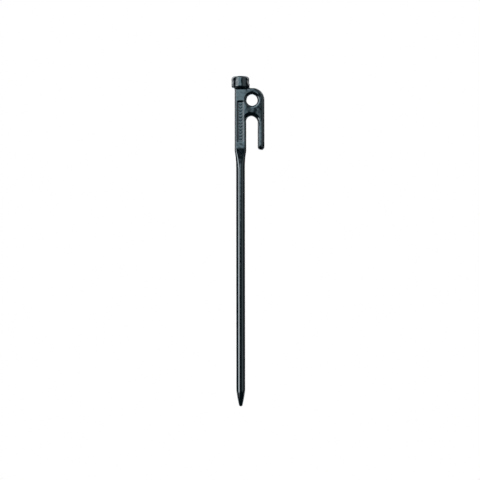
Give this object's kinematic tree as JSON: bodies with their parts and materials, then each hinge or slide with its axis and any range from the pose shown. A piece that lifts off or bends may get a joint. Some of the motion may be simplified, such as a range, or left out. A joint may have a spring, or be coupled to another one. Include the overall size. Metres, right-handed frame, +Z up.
{
  "type": "tent stake",
  "caption": "Forged steel tent stake with a round striking head, a guy line eye, a hook finger beside a flat spine, and a round shank ending in a point.",
  "frame": {"origin": "on the shank's axis at the top of the round shank, which is the ground line once the stake is driven", "axes": "+Z up the shank's axis to the striking head, +X from the spine to the hook finger, +Y through the guy line eye"},
  "size_m": [0.0298, 0.016, 0.3],
  "materials": {
    "black_coat": "semi-gloss black electrodeposited coat over forged steel"
  },
  "bodies": {
    "root": {"striking_head": "black_coat", "neck": "black_coat", "spine": "black_coat", "eye_plate": "black_coat", "hook_finger": "black_coat", "blend": "black_coat", "shank": "black_coat", "point": "black_coat", "front_marks": "black_coat", "back_marks": "black_coat"}
  },
  "joints": []
}
